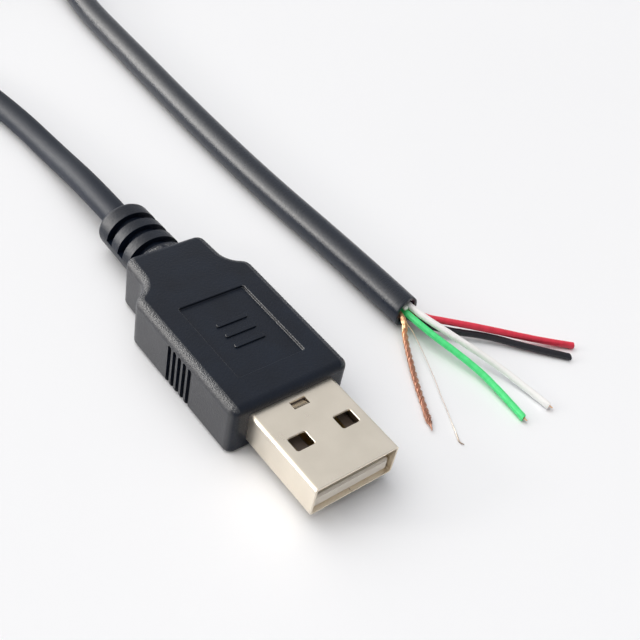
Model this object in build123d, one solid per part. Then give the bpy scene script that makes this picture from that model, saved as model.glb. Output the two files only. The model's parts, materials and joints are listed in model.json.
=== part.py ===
from build123d import *
import math
import os

# A type A plug moulded on a round cable, whose other end is cut off and stripped.
# X runs across the plug, Y along it from the open tip (-Y) to the cable (+Y), and Z up
# from the surface that it lies on. The origin is under the middle of the plug.
# All lengths are in millimetres, and stations are distances from the plug's open tip.

# Folded shell
shell_width = 12.0
shell_height = 4.5
shell_length = 18.75
shell_exposed = 12.1
sheet = 0.3
shell_bend = 0.45
mouth_round = 0.1
seam_gap = 0.08
seam_lock_neck = 1.6
seam_lock_length = 2.24
seam_lock_width = 1.5
window_width = 2.5
window_length = 2.05
window_station = 5.2
window_offset = 3.25
window_corner_radius = 0.3
window_edge_round = 0.1
lance_width = 2.2
lance_length = 1.2
lance_to_carrier = 1.2
lance_angle = 24.0

# Insulator and contacts
insulator_clearance = 0.05
tongue_station = 0.45
tongue_thickness = 1.86
tongue_side_gap = 0.15
tongue_bevel = 0.25
tongue_corner_radius = 0.4
carrier_length = 3.9
carrier_to_shell_end = 3.45
carrier_station = shell_length - carrier_to_shell_end - carrier_length
lance_station = carrier_station - lance_to_carrier
contact_width = 1.0
contact_thickness = 0.25
contact_nose_radius = 0.2
power_contact_station = 2.2
data_contact_station = 3.2
tail_to_shell_end = 0.35
contact_tail_station = shell_length - tail_to_shell_end
power_contact_to_side = 2.5
data_contact_offset = 1.0
contact_offsets = {
    "contact_ground": power_contact_to_side - shell_width / 2,
    "contact_data_plus": -data_contact_offset,
    "contact_data_minus": data_contact_offset,
    "contact_vbus": shell_width / 2 - power_contact_to_side,
}

# Moulded body
body_width = 16.8
body_height = 7.3
body_length = 28.3
body_rear_width = 11.4
neck_flare = 0.25
shoulder_from_rear = 7.2
neck_from_rear = 5.8
shoulder_radius = 1.6
neck_radius = 3.2
rear_corner_radius = 1.3
front_corner_radius = 1.1
top_edge_radius = 1.0
bottom_edge_radius = 0.7

# Recessed panel on the body's top, with three raised bars
panel_width = 9.5
panel_length = 12.8
panel_to_front = 4.3
panel_depth = 0.35
panel_corner_radius = 0.3
panel_edge_round = 0.12
bar_length = 4.4
bar_width = 0.6
bar_height = 0.2
bar_edge_round = 0.08
bar_pitch = 1.9
bar_count = 3

# Finger grips on both sides of the body
grip_to_front = 8.65
groove_width = 0.7
groove_depth = 0.45
groove_pitch = 1.07
groove_count = 5
groove_top_margin = 1.0

# Slotted strain relief
relief_length = 10.2
relief_root_width = 7.9
relief_root_height = 6.9
relief_end_width = 7.5
relief_end_height = 6.6
relief_end_round = 0.8
relief_root = 1.0
slot_width = 1.3
slot_pitch = 2.85
slot_first_gap = 0.5
slot_count = 3
slot_core_diameter = 5.3
upper_slot_above_axis = 0.05
lower_slot_below_axis = 2.4

# Cores and the other strands in the cable
core_diameter = 0.95
conductor_diameter = 0.42
braid_diameter = 0.76
drain_diameter = 0.26
filler_diameter = 0.7

# Cable, thinner beside the plug than at its cut end
plug_cable_diameter = 3.7
coil_cable_diameter = 4.1
cut_cable_diameter = 4.4
bundle_diameter = 3.25 * core_diameter
jacket_bore_depth = 2.0
cable_lift = 0.05
floor_gap = 0.02

plug_length = shell_exposed + body_length + relief_length
body_end = shell_exposed + body_length
axis_height = body_height / 2
plug_cable_height = plug_cable_diameter / 2 + cable_lift
coil_cable_height = coil_cable_diameter / 2 + cable_lift
cut_cable_height = cut_cable_diameter / 2 + cable_lift

# Rear shield, in two halves that grip the shell and the cable
shield_sheet = 0.25
shield_grip = 3.75
shield_to_shoulder = 2.2
shield_station = shell_length - shield_grip
shield_end_station = body_end - shoulder_from_rear - shield_to_shoulder
crimp_length = 5.0
crimp_gap = 0.8
jacket_in_shield = 1.0
jacket_end_station = shield_end_station - jacket_in_shield

# Solder joints
solder_length = 1.6
solder_height = 0.62
solder_slope = 62.0
solder_to_insulation = 0.1
solder_film = 0.05
bared_length = 1.9
core_to_shell_end = 0.15
core_station = shell_length + core_to_shell_end

# Coil that takes up the length out of sight
coil_mid_diameter = 44.4
coil_columns = 3
coil_layers = 2
coil_turns = 5.5
coil_lead = 16.0
coil_chamfer = 0.3 * coil_cable_diameter


def y_at(station):
    """Y of a station."""
    return station - plug_length / 2


exit_y = y_at(plug_length)

# Route of the cable from the strain relief to the coil: x, y from the exit, z
plug_side_route = [
    (0.0, 0.0, axis_height),
    (0.0, 8.5, axis_height),
    (0.35, 20.0, plug_cable_height),
    (-0.4, 32.0, plug_cable_height),
    (-3.3, 48.5, plug_cable_height),
    (-11.4, 64.0, plug_cable_height),
    (-15.4, 75.0, plug_cable_height),
    (-16.7, 87.0, plug_cable_height),
    (-16.7, 97.5, plug_cable_height),
]

# Middle of the coil, so that its turns run on from both routes
coil_reach = (coil_mid_diameter + (coil_columns - 1) * coil_cable_diameter) / 2
coil_x = plug_side_route[-1][0] + coil_reach
coil_y = plug_side_route[-1][1] + coil_lead
coil_top = coil_cable_height + (coil_layers - 1) * coil_cable_diameter

# Route from the coil to the cut end: x, y from the exit, z
pigtail_route = [
    (coil_x + coil_reach, coil_y - coil_lead, coil_top),
    (coil_x + coil_reach, coil_y - coil_lead - 11.0, coil_top),
    (33.0, 73.0, 4.0),
    (28.7, 58.5, cut_cable_height),
    (26.1, 43.0, cut_cable_height),
    (24.75, 21.0, cut_cable_height),
    (24.4, 1.0, cut_cable_height),
    (25.25, -19.5, cut_cable_height),
    (25.25, -31.7, cut_cable_height),
]
cut_x, cut_y = pigtail_route[-1][0], pigtail_route[-1][1]

# What leaves the cut end: its seat in the jacket's bore (x, z from the cable's middle, in
# core diameters), its route (x, y from the cut end's middle, and the height of its
# underside) and how far its conductor stands out
cores = {
    "red": {
        "seat": (1.03, -0.16),
        "route": [(4.25, -4.1, 1.6), (8.45, -7.7, 1.37), (14.7, -12.4, 0.35), (18.55, -15.15, floor_gap)],
        "bare": 0.0,
    },
    "black": {
        "seat": (0.37, -0.92),
        "route": [(3.85, -4.85, 0.68), (8.4, -8.05, 0.42), (12.1, -12.25, 0.2), (16.35, -16.4, floor_gap)],
        "bare": 0.0,
    },
    "white": {
        "seat": (0.58, 0.74),
        "route": [(2.3, -6.4, 2.05), (4.9, -12.2, 0.85), (6.2, -17.6, 0.15), (6.65, -21.2, floor_gap)],
        "bare": 0.5,
    },
    "green": {
        "seat": (-0.16, 0.05),
        "route": [(0.55, -5.3, 1.45), (1.8, -9.7, 0.9), (2.6, -14.4, 0.35), (2.05, -20.9, floor_gap)],
        "bare": 0.55,
    },
}
core_bend = 1.2
braid_seat = (-1.06, 0.16)
braid_bend = 0.7
braid_route = [(-2.6, -2.7, 1.1), (-4.5, -6.2, 0.45), (-6.7, -10.2, 0.07), (-9.8, -16.3, floor_gap)]
drain_seat = (-0.48, -0.8)
drain_bend = 0.9
drain_route = [(-1.55, -5.6, 0.45), (-3.9, -11.0, 0.15), (-8.2, -19.9, floor_gap)]
filler_seat = (-0.45, 1.03)

# Which core is soldered to which contact, and its place where it leaves the cable there
core_contacts = {
    "black": "contact_ground",
    "green": "contact_data_plus",
    "white": "contact_data_minus",
    "red": "contact_vbus",
}
core_quad = {"black": (-1, -1), "green": (-1, 1), "white": (1, 1), "red": (1, -1)}
quad_offset = 0.56 * core_diameter


def from_exit(point):
    """A route's point in the part's own frame."""
    return Vector(point[0], exit_y + point[1], point[2])


def from_cut(point):
    """A core's point in the part's own frame."""
    return Vector(cut_x + point[0], exit_y + cut_y + point[1], point[2])


def across(station, x=0.0, z=0.0):
    """Plane across the plug that looks along it, its second axis up, at a place from its axis."""
    return Plane(origin=(x, y_at(station), axis_height + z), x_dir=(-1, 0, 0), z_dir=(0, 1, 0))


def bar_between(section, start, end, x=0.0, z=0.0):
    """A section drawn across the plug, drawn out between two stations."""
    return extrude(across(start, x, z) * section, amount=end - start)


def largest_radii(points):
    """The widest arc that each corner of a route takes."""
    radii = []
    for before, corner, after in zip(points, points[1:], points[2:]):
        first = corner - before
        second = after - corner
        half_turn = math.radians(first.get_angle(second)) / 2
        radii.append(0.45 * min(first.length, second.length) / math.tan(half_turn))
    return radii


def route_path(points):
    """Straight runs joined by tangent arcs."""
    return FilletPolyline(*points, radius=largest_radii(points))


def tube(points, diameter, bore=0.0):
    """A round section drawn along a route, open along its middle if it has a bore."""
    path = route_path(points)
    section = Circle(diameter / 2)
    if bore > 0:
        section -= Circle(bore / 2)
    start = Plane(origin=path @ 0, z_dir=path % 0)
    return sweep(start * section, path=path)


def shell():
    """Stamped and folded shell: windows on both faces, locked seam, lance before the carrier."""
    outside = RectangleRounded(shell_width, shell_height, shell_bend)
    inside = RectangleRounded(shell_width - 2 * sheet, shell_height - 2 * sheet, shell_bend - sheet)
    body = bar_between(outside - inside, 0, shell_length)
    body = fillet(body.faces().sort_by(Axis.Y)[0].outer_wire().edges(), mouth_round)
    for side in (-window_offset, window_offset):
        body = cut_windows(body, side)
    body -= seam()
    return cut_lance(body)


def cut_windows(body, x):
    """Cut a window through the upper and the lower face, and round its outer edges."""
    y = y_at(window_station + window_length / 2)
    section = Pos(x, y, axis_height) * RectangleRounded(window_width, window_length, window_corner_radius)
    body -= extrude(section, amount=shell_height, both=True)
    rim = body.edges().filter_by_position(Axis.X, x - window_width / 2, x + window_width / 2)
    rim = rim.filter_by_position(Axis.Y, y - window_length / 2, y + window_length / 2)
    outer = rim.group_by(Axis.Z)
    return fillet(outer[0] + outer[-1], window_edge_round)


def cut_lance(body):
    """Cut a tongue of sheet free on three sides and bend it down, its root towards the tip."""
    top = axis_height + shell_height / 2
    root = Pos(0, y_at(lance_station), top)
    slot = Box(lance_width, lance_length, 4 * sheet, align=(Align.CENTER, Align.MIN, Align.CENTER))
    strip_width = lance_width - 4 * seam_gap
    strip = Box(strip_width, lance_length, sheet, align=(Align.CENTER, Align.MIN, Align.MAX))
    bend = Box(strip_width, sheet, sheet / 2, align=(Align.CENTER, Align.CENTER, Align.MAX))
    lance = Rot(-lance_angle, 0, 0) * strip + Pos(0, 0, -sheet / 2) * bend
    return body - root * slot + root * lance


def seam():
    """Cut along the bottom where the two edges of the sheet meet, with one dovetail lock."""
    lock = shell_exposed / 2
    points = [
        (0, y_at(-1)),
        (0, y_at(lock - seam_lock_neck / 2)),
        (seam_lock_width, y_at(lock - seam_lock_length / 2)),
        (seam_lock_width, y_at(lock + seam_lock_length / 2)),
        (0, y_at(lock + seam_lock_neck / 2)),
        (0, y_at(shell_length + 1)),
    ]
    line = Polyline(*points)
    cut = Plane.XY * trace(line, line_width=seam_gap)
    bottom = axis_height - shell_height / 2
    return Pos(0, 0, bottom - sheet) * extrude(cut, amount=2.5 * sheet)


def tongue_top():
    """Height of the tongue's upper face from the plug's axis."""
    return -shell_height / 2 + sheet + insulator_clearance + tongue_thickness


def contact_bar(name, extra=0.0):
    """One contact strip, or its channel with some extra length at the tail."""
    power = name in ("contact_ground", "contact_vbus")
    start = power_contact_station if power else data_contact_station
    middle = tongue_top() - contact_thickness / 2
    strip = Rectangle(contact_width, contact_thickness)
    return bar_between(strip, start, contact_tail_station + extra, contact_offsets[name], middle)


def contact(name):
    """Contact strip with a rounded nose."""
    strip = contact_bar(name)
    nose = strip.edges().filter_by(Axis.X).sort_by(Axis.Y)[0:2].sort_by(Axis.Z)[-1]
    return fillet(nose, contact_nose_radius)


def insulator_blank():
    """Tongue and carrier before the contacts' channels are cut."""
    width = shell_width - 2 * (sheet + insulator_clearance)
    height = shell_height - 2 * (sheet + insulator_clearance)
    corner = shell_bend - sheet
    carrier = bar_between(
        RectangleRounded(width, height, corner), carrier_station, carrier_station + carrier_length
    )
    tongue_middle = tongue_top() - tongue_thickness / 2
    tongue_width = width - 2 * tongue_side_gap
    tongue = bar_between(
        RectangleRounded(tongue_width, tongue_thickness, tongue_corner_radius),
        tongue_station,
        carrier_station,
        z=tongue_middle,
    )
    front = tongue.faces().sort_by(Axis.Y)[0].edges()
    tongue = chamfer(front, tongue_bevel)
    return carrier + tongue


def insulator():
    """Moulded tongue and carrier, with a channel for each contact."""
    body = insulator_blank()
    for name in contact_offsets:
        body -= contact_bar(name, 1.0)
    return body


def body_outline():
    """Plan of the body: straight sides, shoulders that neck down, a narrower rear."""
    half = body_width / 2
    rear = body_rear_width / 2
    corners = [
        (half, y_at(shell_exposed)),
        (half, y_at(body_end - shoulder_from_rear)),
        (rear + neck_flare, y_at(body_end - neck_from_rear)),
        (rear, y_at(body_end)),
    ]
    mirrored = [(-x, y) for x, y in reversed(corners)]
    outline = make_face(Polyline(*corners, *mirrored, close=True))
    radii = [front_corner_radius, shoulder_radius, neck_radius, rear_corner_radius]
    near = 0.01
    for (x, y), radius in zip(corners, radii):
        level = outline.vertices().filter_by_position(Axis.Y, y - near, y + near)
        outline = fillet([v for v in level if abs(abs(v.X) - x) < near], radius)
    return outline


def grip_grooves():
    """Upright grooves in both sides, open at the bottom and round at the top."""
    round_height = body_height - groove_top_margin - groove_width / 2
    groove = Pos(0, round_height) * Circle(groove_width / 2)
    groove += Pos(0, round_height / 2) * Rectangle(groove_width, round_height)
    grooves = []
    for side in (-1, 1):
        for number in range(groove_count):
            y = y_at(shell_exposed + grip_to_front + number * groove_pitch)
            x = side * (body_width / 2 - groove_depth)
            floor = Plane(origin=(x, y, 0), x_dir=(0, 1, 0), z_dir=(1, 0, 0))
            grooves.append(extrude(floor * groove, amount=side * 2 * groove_depth))
    return grooves


def panel():
    """Shallow recess in the body's top, less the raised bars that stand in it."""
    floor = body_height - panel_depth
    middle = y_at(shell_exposed + panel_to_front + panel_length / 2)
    recess = extrude(
        Pos(0, middle, floor) * RectangleRounded(panel_width, panel_length, panel_corner_radius),
        amount=2 * panel_depth,
    )
    recess = fillet(recess.faces().sort_by(Axis.Z)[0].edges(), panel_edge_round)
    for number in range(bar_count):
        y = middle + (number - (bar_count - 1) / 2) * bar_pitch
        bar = extrude(Pos(0, y, floor) * SlotOverall(bar_length, bar_width), amount=bar_height)
        recess -= fillet(bar.faces().sort_by(Axis.Z)[-1].edges(), bar_edge_round)
    return recess


def round_panel_rim(body):
    """Round the edge between the body's top and the recess."""
    top = body.faces().filter_by(Axis.Z).sort_by(Axis.Z)[-1]
    return fillet(top.inner_wires()[0].edges(), panel_edge_round)


def relief():
    """Tapered oval strain relief, slotted from above down to its middle and a little from below."""
    cone = loft(
        [
            across(body_end - relief_root) * Ellipse(relief_root_width / 2, relief_root_height / 2),
            across(plug_length) * Ellipse(relief_end_width / 2, relief_end_height / 2),
        ]
    )
    cone = fillet(cone.faces().sort_by(Axis.Y)[-1].edges(), relief_end_round)
    ring = Circle(relief_root_width) - Circle(slot_core_diameter / 2)
    rail_height = upper_slot_above_axis + lower_slot_below_axis
    rail_middle = (upper_slot_above_axis - lower_slot_below_axis) / 2
    ring -= Pos(0, rail_middle) * Rectangle(3 * relief_root_width, rail_height)
    for number in range(slot_count):
        start = body_end + slot_first_gap + number * slot_pitch
        cone -= bar_between(ring, start, start + slot_width)
    return cone


def shield_outline():
    """Outside of the rear shield, across the plug."""
    grip = 2 * shield_sheet
    return RectangleRounded(shell_width + grip, shell_height + grip, shell_bend + shield_sheet)


def plug_insides():
    """The closed forms that the moulding is cast round."""
    shell_room = bar_between(RectangleRounded(shell_width, shell_height, shell_bend), 0, shell_length)
    shield_room = bar_between(shield_outline(), shield_station, shield_end_station)
    crimp_end = shield_end_station + crimp_length
    crimp_room = bar_between(Circle(plug_cable_diameter / 2 + shield_sheet), shield_end_station, crimp_end)
    cable_room = bar_between(Circle(plug_cable_diameter / 2), jacket_end_station, plug_length + 1)
    return [shell_room, shield_room, crimp_room, cable_room]


def overmould():
    """The moulded body and its strain relief, one piece."""
    body = extrude(body_outline(), amount=body_height)
    body = fillet(body.faces().sort_by(Axis.Z)[-1].edges(), top_edge_radius)
    body = fillet(body.faces().sort_by(Axis.Z)[0].edges(), bottom_edge_radius)
    body += relief()
    body = round_panel_rim(body - panel())
    for cut in [*grip_grooves(), *plug_insides()]:
        body -= cut
    return body


def shield_box():
    """Both halves of the rear shield together, before they are parted."""
    inner = RectangleRounded(shell_width, shell_height, shell_bend)
    wall = bar_between(shield_outline() - inner, shield_station, shield_end_station)
    back = bar_between(
        shield_outline() - Circle(plug_cable_diameter / 2),
        shield_end_station - shield_sheet,
        shield_end_station,
    )
    return wall + back


def half_space(upper):
    """Space above or below the plug's middle plane."""
    side = Align.MIN if upper else Align.MAX
    room = Box(2 * body_width, 2 * plug_length, body_height, align=(Align.CENTER, Align.CENTER, side))
    return Pos(0, 0, axis_height) * room


def rear_shield_upper():
    """Cover half of the rear shield."""
    return shield_box() & half_space(True)


def rear_shield_lower():
    """Half of the rear shield that carries the crimp round the cable."""
    ring = Circle(plug_cable_diameter / 2 + shield_sheet) - Circle(plug_cable_diameter / 2)
    ring -= Pos(0, -plug_cable_diameter / 2) * Rectangle(crimp_gap, plug_cable_diameter)
    crimp = bar_between(ring, shield_end_station, shield_end_station + crimp_length)
    return (shield_box() & half_space(False)) + crimp


def jacket_in_plug():
    """The cable's end inside the moulding."""
    return bar_between(Circle(plug_cable_diameter / 2), jacket_end_station, plug_length)


def plug_core_height():
    """Height of a conductor that lies on its contact, from the plug's axis."""
    return tongue_top() + solder_film + conductor_diameter / 2


def plug_core_run(color, diameter):
    """A round section drawn straight from its place at the contact to its place in the jacket."""
    x = contact_offsets[core_contacts[color]]
    side, level = core_quad[color]
    run = Vector(
        side * quad_offset - x,
        jacket_end_station - core_station,
        level * quad_offset - plug_core_height(),
    )
    start = across(core_station, x, plug_core_height())
    return extrude(start * Circle(diameter / 2), amount=run.length, dir=run)


def plug_core(color):
    """Insulation of one core inside the plug."""
    return plug_core_run(color, core_diameter) - plug_core_run(color, conductor_diameter)


def bared_ends():
    """Conductors of the four cores inside the plug, with their bare ends on the contacts."""
    ends = []
    for color, name in core_contacts.items():
        section = Circle(conductor_diameter / 2)
        start = core_station - bared_length
        bare = bar_between(section, start, core_station, contact_offsets[name], plug_core_height())
        ends.append(bare + plug_core_run(color, conductor_diameter))
    return ends


def solder_joints():
    """Solder on each contact's tail, cast round the bare end that lies there."""
    drops = []
    for (color, name), end in zip(core_contacts.items(), bared_ends()):
        section = Pos(0, solder_height / 2) * Trapezoid(contact_width, solder_height, solder_slope)
        last = core_station - solder_to_insulation
        drop = bar_between(section, last - solder_length, last, contact_offsets[name], tongue_top())
        drops.append(drop - end)
    return drops


def joint_pocket(name):
    """The room that one contact's tail and its solder joint take in the filling."""
    height = contact_thickness + solder_height
    middle = tongue_top() - contact_thickness + height / 2
    start = carrier_station + carrier_length
    return bar_between(Rectangle(contact_width, height), start, core_station, contact_offsets[name], middle)


def inner_mould():
    """Filling between the insulator, the rear shield and the cable, cast round the cores."""
    in_shell = bar_between(
        RectangleRounded(shell_width - 2 * sheet, shell_height - 2 * sheet, shell_bend - sheet),
        carrier_station + carrier_length,
        shell_length,
    )
    in_shield = bar_between(
        RectangleRounded(shell_width, shell_height, shell_bend),
        shell_length,
        shield_end_station - shield_sheet,
    )
    filling = in_shell + in_shield - jacket_in_plug()
    for color, name in core_contacts.items():
        filling -= joint_pocket(name)
        filling -= plug_core_run(color, core_diameter)
    return filling


def coil():
    """Closed ring of the wound turns, with the two stretches that lead into it."""
    width = coil_columns * coil_cable_diameter
    height = coil_layers * coil_cable_diameter
    section = Pos(coil_mid_diameter / 2, cable_lift + height / 2) * Rectangle(width, height)
    section = chamfer(section.vertices(), coil_chamfer)
    ring = Pos(coil_x, exit_y + coil_y, 0) * revolve(Plane.XZ * section, axis=Axis.Z)
    leads = ((plug_side_route[-1], plug_cable_diameter), (pigtail_route[0], cut_cable_diameter))
    for end, diameter in leads:
        foot = Plane(origin=from_exit(end), z_dir=(0, 1, 0))
        ring += extrude(foot * Circle(diameter / 2), amount=coil_lead)
    return ring


def plug_side_cable():
    """The cable from the strain relief to the coil."""
    return tube([from_exit(p) for p in plug_side_route], plug_cable_diameter)


def pigtail_cable():
    """The cable from the coil to its cut end, with its bore open at the cut."""
    run = tube([from_exit(p) for p in pigtail_route], cut_cable_diameter)
    end = Plane(origin=from_cut((0, 0, cut_cable_height)), z_dir=(0, 1, 0))
    return run - extrude(end * Circle(bundle_diameter / 2), amount=jacket_bore_depth)


def strand_points(seat, bend, route, diameter):
    """Route of a strand that starts in the jacket's bore and turns off past its mouth."""
    x = seat[0] * core_diameter
    height = cut_cable_height + seat[1] * core_diameter
    points = [from_cut((x, jacket_bore_depth, height)), from_cut((x, -bend, height))]
    return points + [from_cut((px, py, low + diameter / 2)) for px, py, low in route]


def core_points(color):
    """Route of one core at the cut end."""
    core = cores[color]
    return strand_points(core["seat"], core_bend, core["route"], core_diameter)


def braid_points():
    """Route of the twisted shield strands."""
    return strand_points(braid_seat, braid_bend, braid_route, braid_diameter)


def drain_points():
    """Route of the drain wire."""
    return strand_points(drain_seat, drain_bend, drain_route, drain_diameter)


def core_conductor(color):
    """Conductor of one core at the cut end, with its bare tip."""
    points = core_points(color)
    conductor = tube(points, conductor_diameter)
    bare = cores[color]["bare"]
    if bare > 0:
        tip = Plane(origin=points[-1], z_dir=points[-1] - points[-2])
        conductor += extrude(tip * Circle(conductor_diameter / 2), amount=bare)
    return conductor


def filler_cord():
    """Filler trimmed off level with the jacket."""
    height = cut_cable_height + filler_seat[1] * core_diameter
    foot = Plane(origin=from_cut((filler_seat[0] * core_diameter, 0, height)), z_dir=(0, 1, 0))
    return extrude(foot * Circle(filler_diameter / 2), amount=jacket_bore_depth)


def solids_of(shape):
    """The separate solids of a shape or of a list of shapes."""
    shapes = shape if isinstance(shape, list) else [shape]
    return [solid for item in shapes for solid in item.solids()]


def build():
    """Every node of the part by name."""
    nodes = {
        "shell": shell(),
        "insulator": insulator(),
        "overmould": overmould(),
        "rear_shield_upper": rear_shield_upper(),
        "rear_shield_lower": rear_shield_lower(),
        "inner_mould": inner_mould(),
        "solder_joints": solder_joints(),
        "plug_conductors": bared_ends(),
        "jacket_in_plug": jacket_in_plug(),
        "cable_plug_side": plug_side_cable(),
        "cable_coil": coil(),
        "cable_pigtail_side": pigtail_cable(),
        "shield_strands": tube(braid_points(), braid_diameter),
        "drain_wire": tube(drain_points(), drain_diameter),
        "filler_cord": filler_cord(),
    }
    for name in contact_offsets:
        nodes[name] = contact(name)
    for color in cores:
        nodes["plug_core_" + color] = plug_core(color)
        nodes["core_" + color] = tube(core_points(color), core_diameter, conductor_diameter)
        nodes["conductor_" + color] = core_conductor(color)
    return nodes


def print_route(name, points):
    """Length along a route's runs and arcs, and its bend radii."""
    radii = largest_radii(points)
    print(name, "length", round(route_path(points).length, 1), "radii", [round(r, 1) for r in radii])


if __name__ == "__main__":
    os.makedirs("parts", exist_ok=True)
    for node, shape in build().items():
        solids = solids_of(shape)
        whole = solids[0] if len(solids) == 1 else Compound(children=solids)
        whole.label = node
        export_step(whole, f"parts/{node}.step")
    print_route("plug side", [from_exit(p) for p in plug_side_route])
    print_route("pigtail side", [from_exit(p) for p in pigtail_route])
    print("coil length", round(coil_turns * math.pi * coil_mid_diameter + 2 * coil_lead, 1))
    for color in cores:
        print_route(color, core_points(color))
    print_route("braid", braid_points())
    print_route("drain", drain_points())
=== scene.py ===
import json
import math
import random

import bpy
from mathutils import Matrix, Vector, noise


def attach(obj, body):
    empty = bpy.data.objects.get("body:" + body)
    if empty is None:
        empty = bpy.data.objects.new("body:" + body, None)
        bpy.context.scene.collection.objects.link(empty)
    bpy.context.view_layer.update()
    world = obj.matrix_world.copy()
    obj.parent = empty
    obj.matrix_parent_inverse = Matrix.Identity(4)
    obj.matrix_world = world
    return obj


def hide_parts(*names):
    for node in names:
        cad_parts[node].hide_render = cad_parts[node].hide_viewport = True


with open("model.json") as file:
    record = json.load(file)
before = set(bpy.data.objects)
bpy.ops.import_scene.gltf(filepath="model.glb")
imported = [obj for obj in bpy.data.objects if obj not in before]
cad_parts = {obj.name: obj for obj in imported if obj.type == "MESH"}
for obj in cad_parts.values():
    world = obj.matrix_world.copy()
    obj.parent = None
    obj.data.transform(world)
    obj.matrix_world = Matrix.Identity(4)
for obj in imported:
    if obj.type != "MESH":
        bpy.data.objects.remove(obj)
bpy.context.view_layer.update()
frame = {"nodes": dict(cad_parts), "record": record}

# A plug on a round cable whose other end is cut off, with its cores bared.
# Lengths are in millimetres up to the point where a mesh is made, and MM turns them into metres.
MM = 0.001

# The photograph's camera
CAMERA_PLACE = (-55.48, -66.08, 87.14)
CAMERA_TURN = (47.2226, -9.8336, -38.1893)
CAMERA_LENS = 54.699
CAMERA_SENSOR = 36.0
CAMERA_NEAREST = 0.005

# Cable, thinner beside the plug than at its cut end, and what runs in it
PLUG_CABLE_DIAMETER = 3.7
COIL_CABLE_DIAMETER = 4.1
CUT_CABLE_DIAMETER = 4.4
BORE_DIAMETER = 3.09
BORE_DEPTH = 2.0
CORE_DIAMETER = 0.95
CONDUCTOR_STRAND = 0.127
STRAND_DIAMETER = 0.13
BRAID_DIAMETER = 0.76
DRAIN_DIAMETER = 0.26
FILLER_DIAMETER = 0.7
AXIS_HEIGHT = 3.65
CABLE_LIFT = 0.05
PLUG_CABLE_HEIGHT = PLUG_CABLE_DIAMETER / 2 + CABLE_LIFT
COIL_CABLE_HEIGHT = COIL_CABLE_DIAMETER / 2 + CABLE_LIFT
CUT_CABLE_HEIGHT = CUT_CABLE_DIAMETER / 2 + CABLE_LIFT
FLOOR_GAP = 0.02
FLOOR_CLEARANCE = 0.01

# Along the plug: where the cable leaves the strain relief, and where the relief starts
EXIT_Y = 25.3
RELIEF_START = 15.3

# Where the cable thickens, out of view: how far past the strain relief and how far before the cut
# end each change starts, and the length that it takes
PLUG_STRETCH, PLUG_STRETCH_EASE = 98.0, 24.0
CUT_STRETCH, CUT_STRETCH_EASE = 140.0, 40.0

# Coil of the length out of view, wound inwards on the floor and then outwards on top.
# The shifts say at which part of a turn it goes over to the next column, and how fast.
COIL_CENTRE = (9.6, 138.8)
COIL_RADIUS = 22.2
COIL_TOP = COIL_CABLE_HEIGHT + COIL_CABLE_DIAMETER
COIL_COLUMNS = 3
COIL_TURNS = 5.5
POINTS_PER_TURN = 16
LOWER_SHIFT, UPPER_SHIFT, SHIFT_EASE = 0.85, 0.5, 0.15
CLIMB_START, CLIMB_EASE = 2.7, 0.25

# The cable's route from the strain relief to the coil: x, y from the exit, z
PLUG_SIDE = [
    (0.0, 0.0, AXIS_HEIGHT),
    (0.0, 8.5, AXIS_HEIGHT),
    (0.35, 20.0, PLUG_CABLE_HEIGHT),
    (-0.4, 32.0, PLUG_CABLE_HEIGHT),
    (-3.3, 48.5, PLUG_CABLE_HEIGHT),
    (-11.4, 64.0, PLUG_CABLE_HEIGHT),
    (-15.4, 75.0, PLUG_CABLE_HEIGHT),
    (-16.7, 87.0, PLUG_CABLE_HEIGHT),
    (-16.7, 97.5, PLUG_CABLE_HEIGHT),
]

# The cable's route from the coil to the cut end
PIGTAIL_SIDE = [
    (35.9, 97.5, COIL_TOP),
    (35.9, 86.5, COIL_TOP),
    (28.8, 75.0, 3.6),
    (26.5, 60.0, CUT_CABLE_HEIGHT),
    (25.8, 43.0, CUT_CABLE_HEIGHT),
    (24.75, 21.0, CUT_CABLE_HEIGHT),
    (24.4, 1.0, CUT_CABLE_HEIGHT),
    (25.25, -19.5, CUT_CABLE_HEIGHT),
    (25.25, -31.7, CUT_CABLE_HEIGHT),
]
CUT_X, CUT_Y = 25.25, -31.7

# The jacket's cut edge, from its outside round into the bore: distance inwards and past the cut
JACKET_WALL = (CUT_CABLE_DIAMETER - BORE_DIAMETER) / 2
CUT_RIM = [
    (0.0, -0.25),
    (0.03, -0.08),
    (0.12, 0.0),
    (0.34, 0.03),
    (0.52, -0.03),
    (0.62, -0.2),
    (JACKET_WALL, -0.6),
    (JACKET_WALL, -BORE_DEPTH),
]

# How unevenly the jacket is cut: its lean sideways and upwards and a dip near the top, which all
# fade out over their reach
LEAN_SIDEWAYS, LEAN_UPWARD = 0.3, 0.12
DIP, DIP_PLACE, DIP_SHARPNESS = 0.3, 0.8, 9
LIP_REACH = 1.2

# What leaves the cut end: seat in the bore (x, z from the cable's middle, in core diameters),
# route (x, y from the cut end's middle, height of the underside), how far the tip's cut leans
# across it, and how far the conductor stands out
CORES = {
    "red": {
        "seat": (1.03, -0.16),
        "route": [(4.25, -4.1, 1.6), (8.45, -7.7, 1.37), (14.7, -12.4, 0.35), (18.55, -15.15, FLOOR_GAP)],
        "slant": 0.05,
        "bare": 0.0,
    },
    "black": {
        "seat": (0.37, -0.92),
        "route": [(3.85, -4.85, 0.68), (8.4, -8.05, 0.42), (12.1, -12.25, 0.2), (16.35, -16.4, FLOOR_GAP)],
        "slant": 0.28,
        "bare": 0.0,
    },
    "white": {
        "seat": (0.58, 0.74),
        "route": [(2.3, -6.4, 2.05), (4.9, -12.2, 0.85), (6.2, -17.6, 0.15), (6.65, -21.2, FLOOR_GAP)],
        "slant": 0.12,
        "bare": 0.5,
    },
    "green": {
        "seat": (-0.16, 0.05),
        "route": [(0.55, -5.3, 1.45), (1.8, -9.7, 0.9), (2.6, -14.4, 0.35), (2.05, -20.9, FLOOR_GAP)],
        "slant": 0.15,
        "bare": 0.55,
    },
}
CORE_BEND = 1.2
BRAID_SEAT = (-1.06, 0.16)
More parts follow.
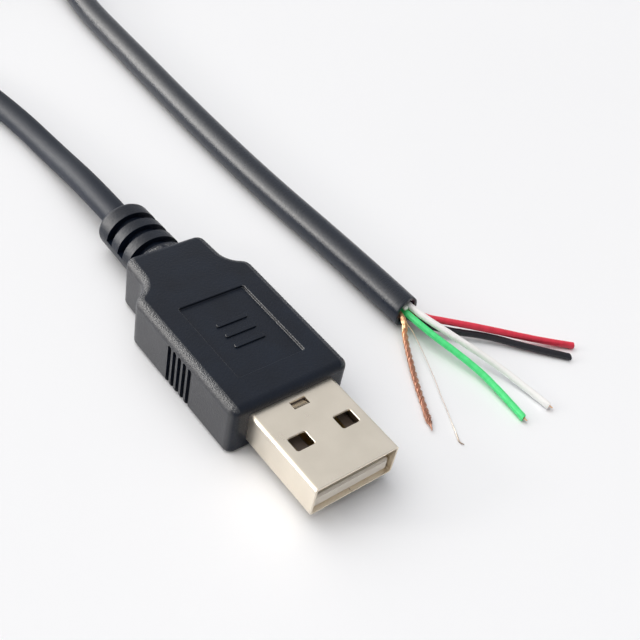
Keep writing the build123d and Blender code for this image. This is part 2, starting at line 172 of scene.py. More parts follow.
BRAID_BEND = 0.7
BRAID_ROUTE = [(-2.6, -2.7, 1.1), (-4.5, -6.2, 0.45), (-6.7, -10.2, 0.07), (-9.8, -16.3, FLOOR_GAP)]
DRAIN_SEAT = (-0.48, -0.8)
DRAIN_BEND = 0.9
DRAIN_ROUTE = [(-1.55, -5.6, 0.45), (-3.9, -11.0, 0.15), (-8.2, -19.9, FLOOR_GAP)]
FILLER_SEAT = (-0.45, 1.03)

# Cut tips: a core's distance inwards and past its end, the filler's radius and distance past the
# jacket's cut, and how far a conductor's strands reach into its core
CORE_TIP = [(0.03, 0.03), (0.12, 0.04), (0.24, 0.0), (0.27, -0.35)]
FILLER_TIP = [(0.35, 0.0), (0.35, 0.05), (0.31, 0.13), (0.22, 0.2), (0.1, 0.24), (0.02, 0.25)]
CONDUCTOR_HIDDEN = 0.6

# The shield's bundle: its groups of strands, the straight stretch at the jacket, the length of a turn
# of the groups and of a group's strands, and how far a group and a strand lie from their middles
GROUPS, GROUP_SIZE = 3, 8
STRAIGHT, LAY, OWN_LAY = 4.4, 3.0, 1.9
GROUP_REACH, STRAND_REACH = 0.2, 0.135

# The bundle's tip: how far before it strands may end, the swelling before it and the narrowing at it
FRAY_LENGTH = 2.4
SWELL, SWELL_BEFORE_TIP, SWELL_LENGTH = 0.22, 2.0, 0.7
TAPER, TAPER_LENGTH = 0.85, 1.7

# The drain wire: its radius, what that gains beside the jacket and near the tip, where each gain
# changes and over what length, how the wire narrows to its point, and the hook at the tip
DRAIN_RADIUS, JACKET_GAIN, TIP_GAIN = 0.05, 0.04, 0.045
JACKET_GAIN_END, JACKET_GAIN_EASE = 3.5, 1.5
TIP_GAIN_LENGTH, TIP_GAIN_EASE = 4.5, 2.5
POINT_SHARE, POINT_LENGTH = 0.5, 0.6
HOOK, HOOK_LENGTH = 0.5, 0.9

# Sides of the round pieces, and points to a stretch of their lines
CABLE_SIDES, CABLE_STEPS = 40, 12
CORE_SIDES, CORE_STEPS = 20, 24
CONDUCTOR_SIDES, CONDUCTOR_STEPS = 8, 6
STRAND_SIDES, STRAND_STEPS = 6, 40
DRAIN_SIDES = 10
FILLER_SIDES, FILLER_STEPS = 20, 10

# Studio: the room's colours, where its light comes from, and how strong each part of it is. What
# shiny surfaces mirror is brighter than what lights the floor. A focus narrows a part of the room.
FLOOR_SIZE = 1.6
FLOOR_COLOUR = (0.905, 0.92, 0.958)
FLOOR_UNEVEN = 0.985
BACKDROP_COLOUR = (0.92, 0.925, 0.94)
COOL_TINT, WARM_TINT = (0.97, 0.98, 1.0), (1.0, 0.965, 0.91)
GLOW_FROM = (-0.7, 0.55, 0.45)
WINDOW_FROM = (-0.64, 0.76, 0.06)
SKY_FROM = (-0.22, 0.46, 0.86)
ROOM_LIGHT = 0.17
SKY_LIGHT, SKY_FOCUS = 2.9, 4.0
MIRRORED_ROOM, MIRRORED_GLOW = 0.6, 0.35
MIRRORED_WINDOW, WINDOW_FOCUS = 9.5, 6.0
LAMP_FROM = (-0.806, 0.505, 0.309)
LAMP_DISTANCE = 0.8
LAMP_SIZE = 0.14
LAMP_WATTS = 1.1
LAMP_COLOUR = (1.0, 0.95, 0.88)

# The moulding: levels by how far its surface faces sideways or up, and the darkest and palest
# colours of its top and of its upright sides; the upright sides' paler colour is painted light
UPRIGHT_PAINTED_LIGHT = [(0.62, 0.0), (0.9, 1.0)]
ROUNDED = [(0.02, 0.0), (0.12, 1.0), (0.56, 1.0), (0.76, 0.0)]
FACING_UP = [(0.45, 0.0), (0.65, 1.0)]
PVC_TOP = ((0.002, 0.005, 0.013), (0.004, 0.009, 0.021))
PVC_PAINTED_LIT_FLANK = ((0.052, 0.054, 0.061), (0.062, 0.064, 0.072))

# Where painted shade takes the tongue from pale to dark, along the plug
TONGUE_PAINTED_SHADE = (-23.6, -21.2)

# Where the jacket's finish changes, along the cable
JACKET_CHANGE = (120.0, 160.0)

# Colours along the copper bundle and along the drain wire, as shares of these lengths
COPPER_LENGTH, DRAIN_LENGTH = 22.0, 23.6
COPPER_STOPS = [
    (0.0, (0.82, 0.5, 0.3)),
    (0.2, (0.82, 0.5, 0.3)),
    (0.34, (0.68, 0.39, 0.28)),
    (0.9, (0.62, 0.34, 0.25)),
]
# painted reflection: the drain wire's copper colour near the jacket stands for the copper bundle mirrored in
# it
DRAIN_STOPS = [
    (0.0, (0.88, 0.58, 0.36)),
    (0.2, (0.8, 0.6, 0.48)),
    (0.34, (0.62, 0.53, 0.51)),
    (0.75, (0.66, 0.57, 0.53)),
    (0.9, (0.88, 0.82, 0.74)),
    (0.99, (0.36, 0.26, 0.2)),
]


def ease(value, start, length):
    """Goes from 0 at the start to 1 at this length past it, slowly at both ends."""
    share = min(max((value - start) / length, 0.0), 1.0)
    return share * share * (3 - 2 * share)


def waver(distance, size, rate, row):
    """An unevenness of this size that wanders along a line, with its own row of noise."""
    return size * noise.noise(Vector((distance * rate, *row)))


class Nodes:
    """A node tree, built from short calls."""

    def __init__(self, tree):
        self.tree = tree

    def node(self, kind, inputs=None, **settings):
        """A node with some of its settings and inputs, which are values or other nodes' outputs."""
        made = self.tree.nodes.new(kind)
        for key, value in settings.items():
            setattr(made, key, value)
        for key, value in (inputs or {}).items():
            if isinstance(value, bpy.types.NodeSocket):
                self.tree.links.new(value, made.inputs[key])
            else:
                made.inputs[key].default_value = value
        return made

    def calculate(self, operation, *values):
        """The result of a calculation with numbers or other nodes' outputs."""
        return self.node("ShaderNodeMath", dict(enumerate(values)), operation=operation).outputs[0]

    def split(self, vector):
        """The X, Y and Z of a vector."""
        return self.node("ShaderNodeSeparateXYZ", {"Vector": vector}).outputs

    def ramp(self, value, stops):
        """Colours by value, or greys where the stops are single levels."""
        made = self.node("ShaderNodeValToRGB", {"Fac": value})
        ramp = made.color_ramp
        while len(ramp.elements) < len(stops):
            ramp.elements.new(0.5)
        for element, (place, shade) in zip(ramp.elements, stops):
            element.position = place
            element.color = (*shade, 1.0) if isinstance(shade, tuple) else (shade, shade, shade, 1.0)
        return made.outputs["Color"]

    def blotches(self, cloud, low, high, spread=0.2):
        """One colour or level going over into another, across the middle of a noise's range."""
        return self.ramp(cloud, [(0.5 - spread, low), (0.5 + spread, high)])


class Shader(Nodes):
    """One procedural material."""

    def __init__(self, name, colour, roughness, metallic=0.0):
        self.material = bpy.data.materials.new(name)
        self.material.use_nodes = True
        super().__init__(self.material.node_tree)
        self.surface = self.tree.nodes["Principled BSDF"]
        self.set("Base Color", (*colour, 1.0))
        self.set("Roughness", roughness)
        self.set("Metallic", metallic)

    def set(self, socket, value):
        """A value that is the same all over the surface."""
        self.surface.inputs[socket].default_value = value

    def link(self, output, socket):
        """Joins an output to the surface."""
        self.tree.links.new(output, self.surface.inputs[socket])

    def place(self, scale=(1.0, 1.0, 1.0)):
        """Object coordinates in metres, stretched along each axis."""
        coordinates = self.node("ShaderNodeTexCoord")
        mapping = self.node("ShaderNodeMapping", {"Vector": coordinates.outputs["Object"], "Scale": scale})
        return mapping.outputs["Vector"]

    def facing(self):
        """The X, Y and Z of the way that the surface faces."""
        return self.split(self.node("ShaderNodeNewGeometry").outputs["Normal"])

    def attribute(self, name):
        """A number kept with each point of the mesh."""
        return self.node("ShaderNodeAttribute", attribute_name=name).outputs["Fac"]

    def noise(self, vector, scale, detail=3.0, roughness=0.5):
        """Noise with this many features to a metre."""
        inputs = {"Vector": vector, "Scale": scale, "Detail": detail, "Roughness": roughness}
        return self.node("ShaderNodeTexNoise", inputs).outputs["Fac"]

    def mix(self, share, first, second):
        """One colour going over into another."""
        made = self.node("ShaderNodeMix", data_type="RGBA")
        colours = [socket for socket in made.inputs if socket.type == "RGBA"]
        self.tree.links.new(share, made.inputs[0])
        self.tree.links.new(first, colours[0])
        self.tree.links.new(second, colours[1])
        return [socket for socket in made.outputs if socket.type == "RGBA"][0]

    def bump(self, height, distance, strength=1.0, below=None):
        """Relief of this depth in metres, on top of another one."""
        inputs = {"Height": height, "Distance": distance, "Strength": strength}
        if below is not None:
            inputs["Normal"] = below
        return self.node("ShaderNodeBump", inputs).outputs["Normal"]


def pvc_body():
    """Black moulded plastic with a fine grain and glinting edges; painted light makes the plug's upright
    sides paler.
    """
    shader = Shader("pvc_body", (0.004, 0.008, 0.018), 0.34)
    plain_gloss, edge_gloss = 0.3, 0.6
    plain_relief, edge_relief = 1.0, 2.6
    where = shader.place()
    grain = shader.noise(where, 3600.0, roughness=0.7)
    cloud = shader.noise(where, 240.0)
    normal = shader.facing()
    sideways = shader.calculate("ABSOLUTE", normal["X"])
    ahead = shader.calculate("LESS_THAN", shader.split(where)["Y"], RELIEF_START * MM)
    # painted light: the plug's upright sides, ahead of the strain relief, get a paler colour than the top
    side = shader.calculate("MULTIPLY", shader.ramp(sideways, UPRIGHT_PAINTED_LIGHT), ahead)
    edge = shader.calculate("MULTIPLY", shader.ramp(sideways, ROUNDED), ahead)
    edge = shader.calculate("MULTIPLY", edge, shader.ramp(normal["Z"], FACING_UP))
    top = shader.blotches(cloud, *PVC_TOP)
    painted_lit_flank = shader.blotches(cloud, *PVC_PAINTED_LIT_FLANK)
    shader.link(shader.mix(side, top, painted_lit_flank), "Base Color")
    plain = shader.blotches(grain, 0.28, 0.4)
    glinting = shader.blotches(grain, 0.34, 0.12, spread=0.1)
    shader.link(shader.mix(edge, plain, glinting), "Roughness")
    shader.link(shader.calculate("MULTIPLY_ADD", edge, edge_gloss, plain_gloss), "Specular IOR Level")
    depth = shader.calculate("MULTIPLY_ADD", edge, edge_relief, plain_relief)
    shader.link(shader.bump(shader.calculate("MULTIPLY", grain, depth), 0.00005), "Normal")
    return shader.material


def cable_jacket():
    """Satin black jacket with faint lines along it, duller on the plug's side."""
    shader = Shader("cable_jacket", (0.003, 0.008, 0.02), 0.3)
    along = shader.attribute("along")
    lines = shader.node("ShaderNodeCombineXYZ", {"X": shader.attribute("around"), "Y": along})
    finer = {0: lines.outputs[0], 1: (1.0, 6.0, 1.0)}
    stretched = shader.node("ShaderNodeVectorMath", finer, operation="MULTIPLY")
    drawn = shader.noise(stretched.outputs[0], 7.0)
    grain = shader.noise(shader.place(), 4200.0, 2.0)
    start, end = JACKET_CHANGE
    change = {"Value": along, "From Min": start, "From Max": end}
    duller = shader.node("ShaderNodeMapRange", {**change, "To Min": 0.2, "To Max": 0.0}).outputs[0]
    gloss = shader.node("ShaderNodeMapRange", {**change, "To Min": 0.32, "To Max": 0.5}).outputs[0]
    shader.link(gloss, "Specular IOR Level")
    satin = shader.blotches(drawn, 0.24, 0.32)
    shader.link(shader.calculate("ADD", satin, duller), "Roughness")
    lower = shader.bump(drawn, 0.00004, 0.3)
    shader.link(shader.bump(grain, 0.00002, 0.35, lower), "Normal")
    return shader.material


def nickel():
    """Nickel plated sheet, a little cloudy, with faint draw marks along the plug and dull sheared edges."""
    shader = Shader("nickel_shell", (0.86, 0.79, 0.68), 0.25, 1.0)
    streaks = shader.noise(shader.place((1.0, 0.06, 1.0)), 1500.0, 4.0)
    smears = shader.noise(shader.place(), 320.0, 4.0)
    shader.link(shader.blotches(smears, (0.84, 0.77, 0.66), (0.89, 0.82, 0.71)), "Base Color")
    plated = shader.blotches(smears, 0.27, 0.36)
    turned_to_front, dullness = -0.8, 0.35
    sheared = shader.calculate("LESS_THAN", shader.facing()["Y"], turned_to_front)
    dull = shader.calculate("MULTIPLY", sheared, dullness)
    shader.link(shader.calculate("ADD", plated, dull), "Roughness")
    shader.link(shader.bump(streaks, 0.00001, 0.1), "Normal")
    return shader.material


def plain_plastic(name, colour, darker, roughness):
    """Moulded plastic whose colour wavers a little."""
    shader = Shader(name, colour, roughness)
    cloud = shader.noise(shader.place(), 900.0)
    shader.link(shader.blotches(cloud, darker, colour), "Base Color")
    shader.link(shader.bump(shader.noise(shader.place(), 3000.0), 0.00002, 0.2), "Normal")
    return shader.material


def tongue_plastic():
    """Pale plastic at the mouth, darkened with depth by painted shade behind it, where the shell's windows
    look in.
    """
    shader = Shader("insulator_plastic", (0.88, 0.81, 0.71), 0.5)
    where = shader.place()
    start, end = TONGUE_PAINTED_SHADE
    # painted shade: the tongue goes dark deeper inside the shell
    reach = {"Value": shader.split(where)["Y"], "From Min": start * MM, "From Max": end * MM}
    depth = shader.node("ShaderNodeMapRange", reach).outputs[0]
    cloud = shader.noise(where, 900.0)
    pale = shader.blotches(cloud, (0.89, 0.81, 0.7), (0.93, 0.86, 0.76))
    painted_shade_colour = shader.blotches(cloud, (0.19, 0.15, 0.13), (0.24, 0.2, 0.18))
    shader.link(shader.mix(depth, pale, painted_shade_colour), "Base Color")
    shader.link(shader.bump(shader.noise(where, 3000.0), 0.00002, 0.2), "Normal")
    return shader.material


def core_plastic(name, colour, darker, roughness, scatter=0.0):
    """Extruded insulation, a little uneven along its length."""
    shader = Shader(name, colour, roughness)
    inputs = {"W": shader.attribute("along"), "Scale": 1.1, "Detail": 2.0}
    patches = shader.node("ShaderNodeTexNoise", inputs, noise_dimensions="1D").outputs["Fac"]
    shader.link(shader.blotches(patches, darker, colour), "Base Color")
    shader.link(shader.bump(shader.noise(shader.place(), 2600.0), 0.00002, 0.25), "Normal")
    if scatter > 0:
        shader.set("Subsurface Weight", scatter)
        shader.set("Subsurface Radius", (1.0, 1.0, 1.0))
        shader.set("Subsurface Scale", 0.0006)
    return shader.material


def wire_metal(name, colour, darker, roughness):
    """Bright drawn wire with darker stretches."""
    shader = Shader(name, colour, roughness, 1.0)
    cloud = shader.noise(shader.place(), 1400.0)
    shader.link(shader.blotches(cloud, darker, colour, spread=0.15), "Base Color")
    return shader.material


def lengthwise_metal(name, stops, length, roughness, tarnish=0.12):
    """Wire whose colour changes along its length, which is in millimetres, with duller spots."""
    shader = Shader(name, stops[0][1], roughness, 1.0)
    share = shader.calculate("DIVIDE", shader.attribute("along"), length)
    shader.link(shader.ramp(share, stops), "Base Color")
    spots = shader.noise(shader.place(), 2300.0)
    shader.link(shader.blotches(spots, roughness + tarnish, roughness, spread=0.15), "Roughness")
    return shader.material


MATERIALS = {
    "pvc_body": pvc_body(),
    "cable_jacket": cable_jacket(),
    "nickel_shell": nickel(),
    "insulator_plastic": tongue_plastic(),
    "contact_gold": wire_metal("contact_gold", (0.83, 0.64, 0.3), (0.72, 0.52, 0.22), 0.3),
    "solder": wire_metal("solder", (0.7, 0.71, 0.72), (0.55, 0.56, 0.57), 0.35),
    "core_red": core_plastic("core_red", (0.78, 0.035, 0.075), (0.68, 0.028, 0.06), 0.36),
    "core_black": core_plastic("core_black", (0.005, 0.004, 0.011), (0.003, 0.003, 0.007), 0.36),
    "core_white": core_plastic("core_white", (0.93, 0.92, 0.93), (0.9, 0.89, 0.9), 0.34, 0.3),
    "core_green": core_plastic("core_green", (0.08, 0.82, 0.27), (0.06, 0.74, 0.22), 0.38, 0.1),
    "copper": lengthwise_metal("copper", COPPER_STOPS, COPPER_LENGTH, 0.36),
    "tinned_copper": lengthwise_metal("tinned_copper", DRAIN_STOPS, DRAIN_LENGTH, 0.42),
    "filler": plain_plastic("filler", (0.8, 0.86, 0.8), (0.66, 0.74, 0.66), 0.6),
    "inner_filling": plain_plastic("inner_filling", (0.75, 0.74, 0.7), (0.68, 0.67, 0.63), 0.5),
    "shield_steel": wire_metal("shield_steel", (0.62, 0.62, 0.6), (0.5, 0.5, 0.48), 0.4),
}


def dress_frame():
    """Gives every piece of the frame its finish."""
    for part in frame["record"]["subparts"]:
        piece = frame["nodes"][part["node"]]
        piece.data.materials.clear()
        piece.data.materials.append(MATERIALS[part["material_slot"]])


def smooth_line(points, steps):
    """Points along the smooth curve that has these control points."""
    curve = bpy.data.curves.new("line", "CURVE")
    curve.dimensions = "3D"
    curve.resolution_u = steps
    spline = curve.splines.new("NURBS")
    spline.points.add(len(points) - 1)
    for control, point in zip(spline.points, points):
        control.co = (*point, 1.0)
    spline.order_u = 3
    spline.use_endpoint_u = True
    holder = bpy.data.objects.new("line", curve)
    mesh = bpy.data.meshes.new_from_object(holder)
    line = [vertex.co.copy() for vertex in mesh.vertices]
    bpy.data.objects.remove(holder)
    bpy.data.meshes.remove(mesh)
    bpy.data.curves.remove(curve)
    return line


def lengths_along(line):
    """Distance from the start at each point of a line."""
    total = [0.0]
    for before, after in zip(line, line[1:]):
        total.append(total[-1] + (after - before).length)
    return total


def frames_along(line):
    """Tangent and two directions across the line at each of its points, without twist."""
    frames = []
    across = None
    for number in range(len(line)):
        tangent = line[min(number + 1, len(line) - 1)] - line[max(number - 1, 0)]
        tangent.normalize()
        if across is None:
            across = Vector((0, 0, 1)).cross(tangent)
        across = (across - tangent * across.dot(tangent)).normalized()
        frames.append((tangent, across, tangent.cross(across)))
    return frames


class Skin:
    """Collects tubes of points and makes one mesh of them."""

    def __init__(self):
        self.points = []
        self.faces = []
        self.along = []
        self.around = []

    def add(self, rings, along):
        """A tube through rings of points, with flat ends."""
        sides = len(rings[0])
        first = len(self.points)
        for ring, distance in zip(rings, along):
            for number, point in enumerate(ring):
                self.points.append(point * MM)
                self.along.append(distance)
                self.around.append(abs(2 * number / sides - 1))
        for row in range(len(rings) - 1):
            for number in range(sides):
                here = first + row * sides + number
                beside = first + row * sides + (number + 1) % sides
                self.faces.append((here, beside, beside + sides, here + sides))
        last = first + (len(rings) - 1) * sides
        self.faces.append(tuple(first + number for number in reversed(range(sides))))
        self.faces.append(tuple(last + number for number in range(sides)))

    def piece(self, name, slot, *replaced, sharp=35.0):
        """The finished piece, in place of the frame's pieces that it stands for."""
        mesh = bpy.data.meshes.new(name)
        mesh.from_pydata(self.points, [], self.faces)
        for key, values in (("along", self.along), ("around", self.around)):
            attribute = mesh.attributes.new(key, "FLOAT", "POINT")
            attribute.data.foreach_set("value", values)
        mesh.validate()
        mesh.polygons.foreach_set("use_smooth", [True] * len(mesh.polygons))
        mesh.set_sharp_from_angle(angle=math.radians(sharp))
        mesh.materials.append(MATERIALS[slot])
        made = bpy.data.objects.new(name, mesh)
        bpy.context.scene.collection.objects.link(made)
        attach(made, "root")
        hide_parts(*replaced)
        return made


def circle(centre, frame_here, radius, sides):
    """A ring of points round a point of a line."""
    tangent, across, over = frame_here
    ring = []
    for number in range(sides):
        angle = 2 * math.pi * number / sides
        ring.append(centre + radius * (math.cos(angle) * across + math.sin(angle) * over))
    return ring


def coil_turns():
    """Points of the wound turns, clockwise from above, entering at the left and leaving at the right."""
    points = []
    steps = round(COIL_TURNS * POINTS_PER_TURN)
    stretch = 1 / math.cos(math.pi / POINTS_PER_TURN)
    outermost = (COIL_COLUMNS - 1) // 2
    for number in range(1, steps):
        turn = number / POINTS_PER_TURN
        whole = math.floor(turn)
        part = turn - whole
        if turn < COIL_COLUMNS:
            shift = ease(part, LOWER_SHIFT, SHIFT_EASE) if whole < COIL_COLUMNS - 1 else 0
            column = outermost - whole - shift
        else:
            shift = ease(part, UPPER_SHIFT, SHIFT_EASE) if whole < 2 * COIL_COLUMNS - 1 else 0
            column = whole - COIL_COLUMNS - outermost + shift
        layer = ease(turn, CLIMB_START, CLIMB_EASE)
        radius = (COIL_RADIUS + column * COIL_CABLE_DIAMETER) * stretch
        angle = math.pi - 2 * math.pi * turn
        x = COIL_CENTRE[0] + radius * math.cos(angle)
        y = COIL_CENTRE[1] + radius * math.sin(angle)
        points.append((x, y, COIL_CABLE_HEIGHT + layer * COIL_CABLE_DIAMETER))
    return points


def cable_route():
    """Control points of the whole cable, from the strain relief to the cut end."""
    plug_side = [(x, EXIT_Y + y, z) for x, y, z in PLUG_SIDE]
    pigtail_side = [(x, EXIT_Y + y, z) for x, y, z in PIGTAIL_SIDE]
    coil_in = (plug_side[-1][0], COIL_CENTRE[1], COIL_CABLE_HEIGHT)
    coil_out = (pigtail_side[0][0], COIL_CENTRE[1], COIL_TOP)
    return plug_side + [coil_in] + coil_turns() + [coil_out] + pigtail_side


def cable_radius(distance, total):
    """Radius of the cable, which thickens out of view on its way from the plug to the cut end."""
    early = ease(distance, PLUG_STRETCH, PLUG_STRETCH_EASE)
    late = ease(distance, total - CUT_STRETCH, CUT_STRETCH_EASE)
    middle = COIL_CABLE_DIAMETER - PLUG_CABLE_DIAMETER
    last = CUT_CABLE_DIAMETER - COIL_CABLE_DIAMETER
    return (PLUG_CABLE_DIAMETER + middle * early + last * late) / 2


def cut_lip(way, across, over):
    """How far the unevenly cut jacket stands out on this side of its mouth."""
    upward = way.dot(over)
    dip = DIP * math.exp(-DIP_SHARPNESS * (upward - DIP_PLACE) ** 2)
    return LEAN_SIDEWAYS * way.dot(-across) + LEAN_UPWARD * upward - dip


def cable():
    """The cable as one jacket with an open mouth at its cut end."""
    line = smooth_line(cable_route(), CABLE_STEPS)
    along = lengths_along(line)
    frames = frames_along(line)
    rings = []
    for point, here, distance in zip(line[:-1], frames, along):
        uneven = waver(distance, size=0.02, rate=0.11, row=(3.1, 0.7))
        radius = cable_radius(distance, along[-1]) + uneven
        rings.append(circle(point, here, min(radius, point.z - FLOOR_CLEARANCE), CABLE_SIDES))
    distances = along[:-1]
    tangent, across, over = frames[-1]
    for inward, past in CUT_RIM:
        ring = circle(line[-1] + tangent * past, frames[-1], CUT_CABLE_DIAMETER / 2 - inward, CABLE_SIDES)
        for number, point in enumerate(ring):
            lip = cut_lip((point - line[-1]).normalized(), across, over)
            ring[number] = point + tangent * lip * ease(past, -LIP_REACH, LIP_REACH)
        rings.append(ring)
        distances.append(along[-1] + past)
    skin = Skin()
    skin.add(rings, distances)
    made = skin.piece("cable", "cable_jacket", "cable_plug_side", "cable_coil", "cable_pigtail_side")
    return made, line


def strand_line(seat, bend, route, diameter, steps):
    """The smooth line of what starts in the bore and turns off past the jacket's mouth."""
    x = seat[0] * CORE_DIAMETER
    height = CUT_CABLE_HEIGHT + seat[1] * CORE_DIAMETER
    points = [(x, BORE_DEPTH, height), (x, -bend, height)]
    points += [(px, py, low + diameter / 2) for px, py, low in route]
    return smooth_line([(CUT_X + px, EXIT_Y + CUT_Y + py, z) for px, py, z in points], steps)


def core(colour):
    """Insulation of one core, cut off at its tip."""
    facts = CORES[colour]
    line = strand_line(facts["seat"], CORE_BEND, facts["route"], CORE_DIAMETER, CORE_STEPS)
    along = lengths_along(line)
    frames = frames_along(line)
    radius = CORE_DIAMETER / 2
    row = (7.0 * list(CORES).index(colour), 0.2)
    rings = []
    for point, here, distance in zip(line, frames, along):
        uneven = waver(distance, size=0.012, rate=0.9, row=row)
        rings.append(circle(point, here, radius + uneven, CORE_SIDES))
    distances = list(along)
    tangent, across, over = frames[-1]
    for inward, past in CORE_TIP:
        rings.append(circle(line[-1] + tangent * past, frames[-1], radius - inward, CORE_SIDES))
        distances.append(along[-1] + past)
    for ring in rings[-len(CORE_TIP) - 1:]:
        for number, point in enumerate(ring):
            side = (point - line[-1]).dot(across) / radius
            ring[number] = point - tangent * facts["slant"] * side
    skin = Skin()
    skin.add(rings, distances)
    made = skin.piece("insulation_" + colour, "core_" + colour, "core_" + colour)
    return made, line


def conductor(colour, line):
    """Six fine strands round a seventh, seen in the core's cut tip, two of them standing out the most."""
    tangent, across, over = frames_along(line)[-1]
    bare = CORES[colour]["bare"]
    draw = random.Random(colour)
    skin = Skin()
    for number in range(7):
        angle = number * math.pi / 3
        reach = 0 if number == 6 else CONDUCTOR_STRAND * 1.02
        side = across * math.cos(angle) + over * math.sin(angle)
        length = bare * (1.0 if number in (0, 2) else draw.uniform(0.05, 0.35))
        bend = side * draw.uniform(0.0, 0.16) * bare
        points = []
        for step in range(CONDUCTOR_STEPS + 1):
            share = step / CONDUCTOR_STEPS
            ahead = -CONDUCTOR_HIDDEN + (CONDUCTOR_HIDDEN + length) * share
            points.append(line[-1] + tangent * ahead + side * reach + bend * share ** 2)
        rings = []
        for point, here in zip(points, frames_along(points)):
            rings.append(circle(point, here, CONDUCTOR_STRAND / 2, CONDUCTOR_SIDES))
        skin.add(rings, lengths_along(points))
    return skin.piece("strands_" + colour, "copper", "conductor_" + colour)


def shield_strands():
    """The shield's strands: straight where they leave the jacket, then twisted into a tight bundle."""
    line = strand_line(BRAID_SEAT, BRAID_BEND, BRAID_ROUTE, BRAID_DIAMETER, STRAND_STEPS)
    along = lengths_along(line)
    frames = frames_along(line)
    total = along[-1]
    draw = random.Random(11)
    skin = Skin()
    for group in range(GROUPS):
        phase = 2 * math.pi * group / GROUPS
        for member in range(GROUP_SIZE):
            own = 2 * math.pi * member / GROUP_SIZE + draw.uniform(-0.4, 0.4)
            ends_at = total - draw.uniform(0.0, FRAY_LENGTH) * (member != 0)
            stray = draw.uniform(0.0, 1.0)
            rings = []
            distances = []
            for point, here, distance in zip(line, frames, along):
                if distance > ends_at:
                    break
                tangent, across, over = here
                twisted = max(distance - STRAIGHT, 0)
                turn = phase + 2 * math.pi * twisted / LAY
                inner = own + 2 * math.pi * twisted / OWN_LAY
                swell = 1 + SWELL * math.exp(-((distance - total + SWELL_BEFORE_TIP) / SWELL_LENGTH) ** 2)
                taper = swell * (1 - TAPER * ease(distance, total - TAPER_LENGTH, TAPER_LENGTH))
                uneven = waver(distance, size=0.03, rate=0.9, row=(group * 3.0, 0))
                wide = (GROUP_REACH + uneven) * taper
                close = (STRAND_REACH + 0.03 * stray) * taper
                centre = point + wide * (math.cos(turn) * across + math.sin(turn) * over)
                centre = centre + close * (math.cos(inner) * across + math.sin(inner) * over)
                centre.z = max(centre.z, STRAND_DIAMETER / 2 + FLOOR_CLEARANCE)
                rings.append(circle(centre, here, STRAND_DIAMETER / 2, STRAND_SIDES))
                distances.append(distance)
            skin.add(rings, distances)
    return skin.piece("shield_bundle", "copper", "shield_strands", sharp=60.0)


def drain_wire():
    """One fine wire, thicker near its hooked tip."""
    line = strand_line(DRAIN_SEAT, DRAIN_BEND, DRAIN_ROUTE, DRAIN_DIAMETER, STRAND_STEPS)
    along = lengths_along(line)
    total = along[-1]
    rings = []
    for point, here, distance in zip(line, frames_along(line), along):
        hook = HOOK * ease(distance, total - HOOK_LENGTH, HOOK_LENGTH) ** 2
        near_jacket = 1 - ease(distance, JACKET_GAIN_END, JACKET_GAIN_EASE)
        near_tip = ease(distance, total - TIP_GAIN_LENGTH, TIP_GAIN_EASE)
        near_tip *= 1 - POINT_SHARE * ease(distance, total - POINT_LENGTH, POINT_LENGTH)
        radius = DRAIN_RADIUS + JACKET_GAIN * near_jacket + TIP_GAIN * near_tip
        wander = waver(distance, size=0.05, rate=0.35, row=(5.2, 1.4))
        centre = point + wander * here[1] + hook * Vector((1, 0, 0))
        centre.z = max(centre.z, radius + FLOOR_CLEARANCE)
        rings.append(circle(centre, here, radius, DRAIN_SIDES))
    skin = Skin()
    skin.add(rings, along)
    return skin.piece("drain_filament", "tinned_copper", "drain_wire", sharp=60.0)


def filler():
    """The filler cord, trimmed level with the jacket and a little crushed."""
    height = CUT_CABLE_HEIGHT + FILLER_SEAT[1] * CORE_DIAMETER
    start = Vector((CUT_X + FILLER_SEAT[0] * CORE_DIAMETER, EXIT_Y + CUT_Y + BORE_DEPTH, height))
    ahead = Vector((0, -1, 0))
    full = FILLER_DIAMETER / 2
    line = [start + ahead * BORE_DEPTH * step / FILLER_STEPS for step in range(FILLER_STEPS)]
    radii = [full] * len(line) + [radius for radius, past in FILLER_TIP]
    line += [start + ahead * (BORE_DEPTH + past) for radius, past in FILLER_TIP]
    rings = []
    for point, here, radius in zip(line, frames_along(line), radii):
        ring = circle(point, here, radius, FILLER_SIDES)
        for number, corner in enumerate(ring):
            push = 0.03 * noise.noise(corner * 6.0)
            ring[number] = corner + (corner - point) * push / full
        rings.append(ring)
    skin = Skin()
    skin.add(rings, lengths_along(line))
    return skin.piece("filler_end", "filler", "filler_cord")


def floor():
    """Plain pale floor that looks evenly white where nothing shades it."""
    bpy.ops.mesh.primitive_plane_add(size=FLOOR_SIZE)
    made = bpy.context.object
    made.name = "floor"
    shader = Shader("floor", FLOOR_COLOUR, 0.75)
    cloud = shader.noise(shader.place(), 9.0, 1.0)
    low = tuple(part * FLOOR_UNEVEN for part in FLOOR_COLOUR)
    shader.link(shader.blotches(cloud, low, FLOOR_COLOUR), "Base Color")
    shader.set("Specular IOR Level", 0.2)
    made.data.materials.append(shader.material)
    return made


def lamp():
    """A soft rectangular light on the side of the windows, pointed at the plug."""
    data = bpy.data.lights.new("lamp", "AREA")
    data.shape = "RECTANGLE"
    data.size, data.size_y = LAMP_SIZE, LAMP_SIZE
    data.energy = LAMP_WATTS
    data.color = LAMP_COLOUR
    made = bpy.data.objects.new("lamp", data)
    bpy.context.scene.collection.objects.link(made)
    made.location = Vector([LAMP_DISTANCE * part for part in LAMP_FROM])
    made.rotation_euler = (-made.location).to_track_quat("-Z", "Y").to_euler()
    return made


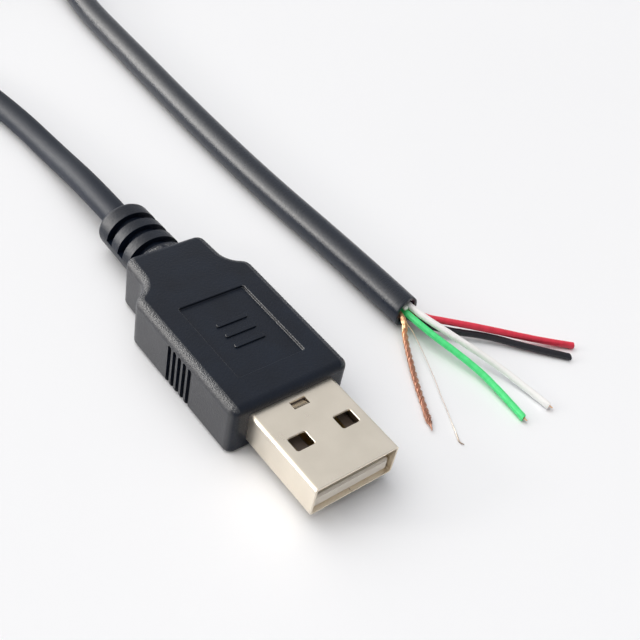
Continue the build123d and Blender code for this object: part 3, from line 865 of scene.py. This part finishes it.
def room():
    """A pale room that is brighter on the side of its windows, and plain where the camera sees it."""
    world = bpy.data.worlds.new("room")
    bpy.context.scene.world = world
    world.use_nodes = True
    world.node_tree.nodes.clear()
    nodes = Nodes(world.node_tree)
    where = nodes.node("ShaderNodeTexCoord").outputs["Generated"]

    def towards(way):
        """How far a direction points this way, and never less than 0."""
        inputs = {0: where, 1: Vector(way).normalized()}
        cosine = nodes.node("ShaderNodeVectorMath", inputs, operation="DOT_PRODUCT").outputs["Value"]
        return nodes.calculate("MAXIMUM", cosine, 0.0)

    glow = towards(GLOW_FROM)
    overhead = nodes.calculate("POWER", towards(SKY_FROM), SKY_FOCUS)
    window = nodes.calculate("POWER", towards(WINDOW_FROM), WINDOW_FOCUS)
    path = nodes.node("ShaderNodeLightPath").outputs
    plain = nodes.calculate("MULTIPLY_ADD", overhead, SKY_LIGHT, ROOM_LIGHT)
    mirrored = nodes.calculate("MULTIPLY_ADD", glow, MIRRORED_GLOW, MIRRORED_ROOM)
    mirrored = nodes.calculate("MULTIPLY_ADD", window, MIRRORED_WINDOW, mirrored)
    extra = nodes.calculate("SUBTRACT", mirrored, plain)
    extra = nodes.calculate("MULTIPLY", extra, path["Is Glossy Ray"])
    strength = nodes.calculate("ADD", plain, extra)
    tint = nodes.ramp(glow, [(0.0, COOL_TINT), (1.0, WARM_TINT)])
    lit = nodes.node("ShaderNodeBackground", {"Color": tint, "Strength": strength})
    seen = nodes.node("ShaderNodeBackground", {"Color": (*BACKDROP_COLOUR, 1.0)})
    choice = {0: path["Is Camera Ray"], 1: lit.outputs[0], 2: seen.outputs[0]}
    mix = nodes.node("ShaderNodeMixShader", choice)
    nodes.node("ShaderNodeOutputWorld", {"Surface": mix.outputs[0]})


def camera():
    """The photograph's view."""
    data = bpy.data.cameras.new("camera")
    data.lens = CAMERA_LENS
    data.sensor_width = CAMERA_SENSOR
    data.clip_start = CAMERA_NEAREST
    made = bpy.data.objects.new("camera", data)
    bpy.context.scene.collection.objects.link(made)
    made.location = Vector(CAMERA_PLACE) * MM
    made.rotation_euler = [math.radians(turn) for turn in CAMERA_TURN]
    bpy.context.scene.camera = made


bpy.context.scene.view_settings.view_transform = "Standard"
camera()
dress_frame()
cable_piece, cable_line = cable()
pieces = []
for colour in CORES:
    insulation, line = core(colour)
    pieces += [insulation, conductor(colour, line)]
pieces += [shield_strands(), drain_wire(), filler()]
floor()
room()
lamp()
